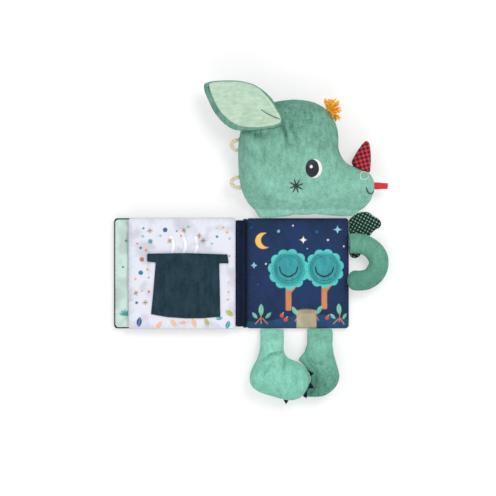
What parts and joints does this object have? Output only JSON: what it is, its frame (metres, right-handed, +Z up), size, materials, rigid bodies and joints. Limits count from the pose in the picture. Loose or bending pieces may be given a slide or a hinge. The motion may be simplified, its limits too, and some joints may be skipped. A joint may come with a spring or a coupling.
{
  "type": "crinkle cloth book",
  "caption": "Open cloth book with padded crinkle pages, a turning leaf, a pocket, lift flaps and a plush animal's head, arm and legs.",
  "frame": {"origin": "centre of the back cover's flat underside", "axes": "+Y to the head, +Z up to the reader, +X to the fore-edge of the night page"},
  "size_m": [0.3466, 0.404, 0.0603],
  "materials": {
    "plush": "short pile plush",
    "pale_plush": "short pile plush",
    "navy_cotton": "printed cotton",
    "dark_cotton": "woven cotton",
    "white_cotton": "printed cotton",
    "mint_cotton": "woven cotton",
    "slate_velour": "velour",
    "teal_velour": "velour",
    "satin": "satin weave",
    "wadding": "polyester wadding",
    "crinkle_film": "thin rustling film",
    "red_gingham": "checked cotton",
    "green_gingham": "checked cotton",
    "orange_yarn": "wool yarn",
    "red_ribbon": "woven ribbon",
    "cream_cord": "twisted cord",
    "hook_tape": "hook and loop tape"
  },
  "bodies": {
    "back_cover": {"back_cover_panel": "dark_cotton", "night_page_panel": "navy_cotton", "back_cover_wadding": "wadding", "back_cover_crinkle_film": "crinkle_film", "scarf_end": "green_gingham"},
    "spine": {"spine_panel": "dark_cotton"},
    "front_cover": {"front_cover_panel": "dark_cotton", "front_cover_lining": "mint_cotton", "front_cover_wadding": "wadding", "front_cover_crinkle_film": "crinkle_film", "cover_loop_patch": "hook_tape"},
    "hinge_strip": {"leaf_hinge_strip": "navy_cotton"},
    "leaf": {"leaf_back_panel": "white_cotton", "leaf_front_panel": "white_cotton", "leaf_wadding": "wadding", "leaf_crinkle_film": "crinkle_film", "hat_pocket": "slate_velour"},
    "left_flap": {"left_lift_flap": "teal_velour"},
    "right_flap": {"right_lift_flap": "teal_velour"},
    "head": {"head": "plush", "nose_horn": "red_gingham", "yarn_tuft": "orange_yarn", "mouth_ribbon_loop": "red_ribbon", "upper_mane_loop": "cream_cord", "lower_mane_loop": "cream_cord"},
    "ear": {"ear_shell": "plush", "ear_lining": "satin"},
    "arm": {"arm": "plush", "hand_hook_patch": "hook_tape"},
    "left_leg": {"left_leg": "pale_plush", "toe_tab_1": "navy_cotton", "toe_tab_2": "navy_cotton", "toe_tab_3": "navy_cotton", "toe_tab_4": "navy_cotton"},
    "right_leg": {"right_leg": "pale_plush"}
  },
  "joints": [
    {"name": "spine_fold", "type": "hinge", "parent": "back_cover", "child": "spine", "pos_m": [-0.0664, 0, 0.0038], "axis": [0, 1, 0], "range_deg": [0, 84]},
    {"name": "cover_fold", "type": "hinge", "parent": "spine", "child": "front_cover", "pos_m": [-0.1004, 0, 0.0038], "axis": [0, 1, 0], "range_deg": [0, 84]},
    {"name": "leaf_carry", "type": "hinge", "parent": "back_cover", "child": "hinge_strip", "pos_m": [-0.0629, 0, 0.01635], "axis": [0, 1, 0], "range_deg": [0, 168]},
    {"name": "leaf_turn", "type": "hinge", "parent": "hinge_strip", "child": "leaf", "pos_m": [-0.078, 0, 0.01635], "axis": [0, -1, 0], "range_deg": [-150, 0]},
    {"name": "left_flap_lift", "type": "hinge", "parent": "back_cover", "child": "left_flap", "pos_m": [-0.0115, 0.023, 0.0108], "axis": [1, 0, 0], "range_deg": [-140, 0]},
    {"name": "right_flap_lift", "type": "hinge", "parent": "back_cover", "child": "right_flap", "pos_m": [0.0335, 0.023, 0.0108], "axis": [1, 0, 0], "range_deg": [-140, 0]},
    {"name": "neck_bend", "type": "hinge", "parent": "back_cover", "child": "head", "pos_m": [0, 0.07, 0.009], "axis": [1, 0, 0], "range_deg": [0, 25]},
    {"name": "ear_lift", "type": "hinge", "parent": "head", "child": "ear", "pos_m": [-0.0245, 0.2, 0.0545], "axis": [-0.2699, 0.9629, 0], "range_deg": [0, 60]},
    {"name": "arm_lift", "type": "hinge", "parent": "back_cover", "child": "arm", "pos_m": [0.0588, 0.0379, 0.0125], "axis": [0, 1, 0], "range_deg": [-70, 0]},
    {"name": "left_hip", "type": "hinge", "parent": "back_cover", "child": "left_leg", "pos_m": [-0.0325, -0.0715, 0.008], "axis": [1, 0, 0], "range_deg": [-45, 0]},
    {"name": "right_hip", "type": "hinge", "parent": "back_cover", "child": "right_leg", "pos_m": [0.0275, -0.0715, 0.008], "axis": [1, 0, 0], "range_deg": [-45, 0]}
  ],
  "couplings": [
    {"joint": "cover_fold", "follows": "spine_fold", "ratio": 1},
    {"joint": "leaf_carry", "follows": "spine_fold", "ratio": 2}
  ]
}
